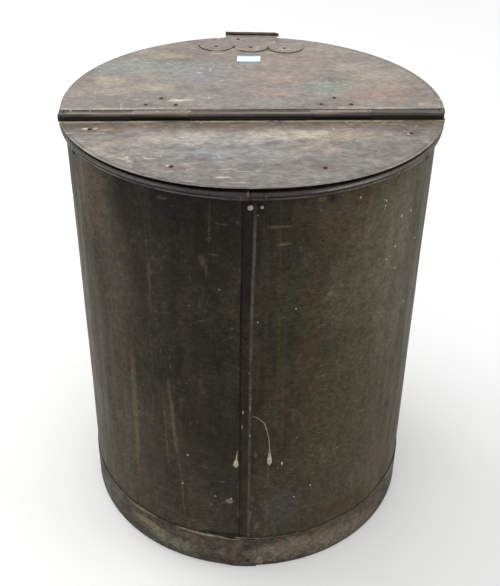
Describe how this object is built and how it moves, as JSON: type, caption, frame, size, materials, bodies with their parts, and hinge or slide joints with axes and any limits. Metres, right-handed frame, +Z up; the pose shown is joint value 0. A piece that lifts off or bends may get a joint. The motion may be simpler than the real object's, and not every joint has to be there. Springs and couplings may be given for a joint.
{
  "type": "honey extractor",
  "caption": "Free-standing sheet-metal honey extractor: round drum on a foot ring, split lid with hinged flap, hand crank, bevel drive, wire-screened reel and honey gate.",
  "frame": {"origin": "on the floor, at the centre of the drum's foot ring", "axes": "+Z up along the spindle; +X along the lid hinge, to the right as seen from the side with the wall seam; +Y towards the lifting tab, the crank and the honey gate"},
  "size_m": [0.4992, 0.6231, 0.6297],
  "materials": {
    "wall_tin": "dark, tarnished galvanised sheet",
    "foot_tin": "tarnished galvanised sheet with rust and grime",
    "lid_tin": "dull, mottled zinc",
    "strap_tin": "dull zinc",
    "rust_iron": "rusted iron",
    "solder": "dull solder-wetted rivets",
    "forged_iron": "forged iron, dark",
    "cast_iron": "cast iron, dark and greasy",
    "gate_brass": "aged brass",
    "bright_steel": "worn steel",
    "tinned_iron": "dull tinned iron",
    "grip_wood": "worn turned beech",
    "label_paper": "blank paper label with a blue edge"
  },
  "bodies": {
    "drum": {"drum_shell": "wall_tin", "rim_hoop": "wall_tin", "foot_band": "foot_tin", "foot_band_rivets": "rust_iron", "drum_bottom": "foot_tin", "pivot_cup": "cast_iron", "front_lid": "lid_tin", "hinge_rod": "rust_iron", "lid_bracket_1": "strap_tin", "lid_bracket_2": "strap_tin", "lid_bracket_3": "strap_tin", "lid_bracket_4": "strap_tin", "bracket_rivets": "rust_iron", "crossbar": "forged_iron", "crossbar_rivets": "solder", "wall_bearing": "gate_brass", "wall_bearing_bolts": "rust_iron", "spindle_bearing": "gate_brass", "spindle_bearing_bolts": "rust_iron", "shaft_pedestal": "cast_iron", "pedestal_bolts": "rust_iron", "gate_neck": "wall_tin", "gate_body": "gate_brass", "gate_pivot_bolt": "rust_iron"},
    "flap": {"lid_flap": "lid_tin", "hinge_strap_left": "strap_tin", "hinge_strap_right": "strap_tin", "strap_rivets": "rust_iron", "lifting_tab": "lid_tin", "tab_rivets": "rust_iron", "blank_label": "label_paper"},
    "reel": {"spindle": "bright_steel", "bevel_pinion": "cast_iron", "reel_pins": "rust_iron", "top_spider": "tinned_iron", "bottom_spider": "tinned_iron", "reel_post_1": "tinned_iron", "reel_post_2": "tinned_iron", "reel_post_3": "tinned_iron", "reel_post_4": "tinned_iron", "wire_screen_1": "tinned_iron", "wire_screen_2": "tinned_iron", "wire_screen_3": "tinned_iron", "wire_screen_4": "tinned_iron", "frame_rest_1": "tinned_iron", "frame_rest_2": "tinned_iron", "frame_rest_3": "tinned_iron", "frame_rest_4": "tinned_iron"},
    "crank": {"crank_shaft": "bright_steel", "bevel_gear": "cast_iron", "gear_pin": "rust_iron", "shaft_collar": "forged_iron", "crank_arm": "forged_iron", "crank_nut": "rust_iron", "grip_pin": "bright_steel"},
    "grip": {"crank_grip": "grip_wood"},
    "gate_lever": {"gate_blade": "gate_brass"},
    "thumb_nut": {"gate_thumb_nut": "rust_iron"}
  },
  "joints": [
    {"name": "flap_hinge", "type": "hinge", "parent": "drum", "child": "flap", "pos_m": [0, -0.061, 0.6255], "axis": [1, 0, 0], "range_deg": [0, 180]},
    {"name": "reel_spin", "type": "hinge", "parent": "drum", "child": "reel", "pos_m": [0, 0, 0.3], "axis": [0, 0, 1], "continuous": true},
    {"name": "crank_turn", "type": "hinge", "parent": "drum", "child": "crank", "pos_m": [0, 0.15, 0.564], "axis": [0, 1, 0], "continuous": true},
    {"name": "grip_spin", "type": "hinge", "parent": "crank", "child": "grip", "pos_m": [0, 0.32, 0.414], "axis": [0, 1, 0], "continuous": true},
    {"name": "gate_swing", "type": "hinge", "parent": "drum", "child": "gate_lever", "pos_m": [0, 0.29, 0.129], "axis": [0, 1, 0], "range_deg": [0, 90]},
    {"name": "thumb_nut_turn", "type": "hinge", "parent": "drum", "child": "thumb_nut", "pos_m": [0, 0.298, 0.129], "axis": [0, 1, 0], "range_deg": [0, 270]}
  ],
  "couplings": [
    {"joint": "crank_turn", "follows": "reel_spin", "ratio": 0.4}
  ]
}
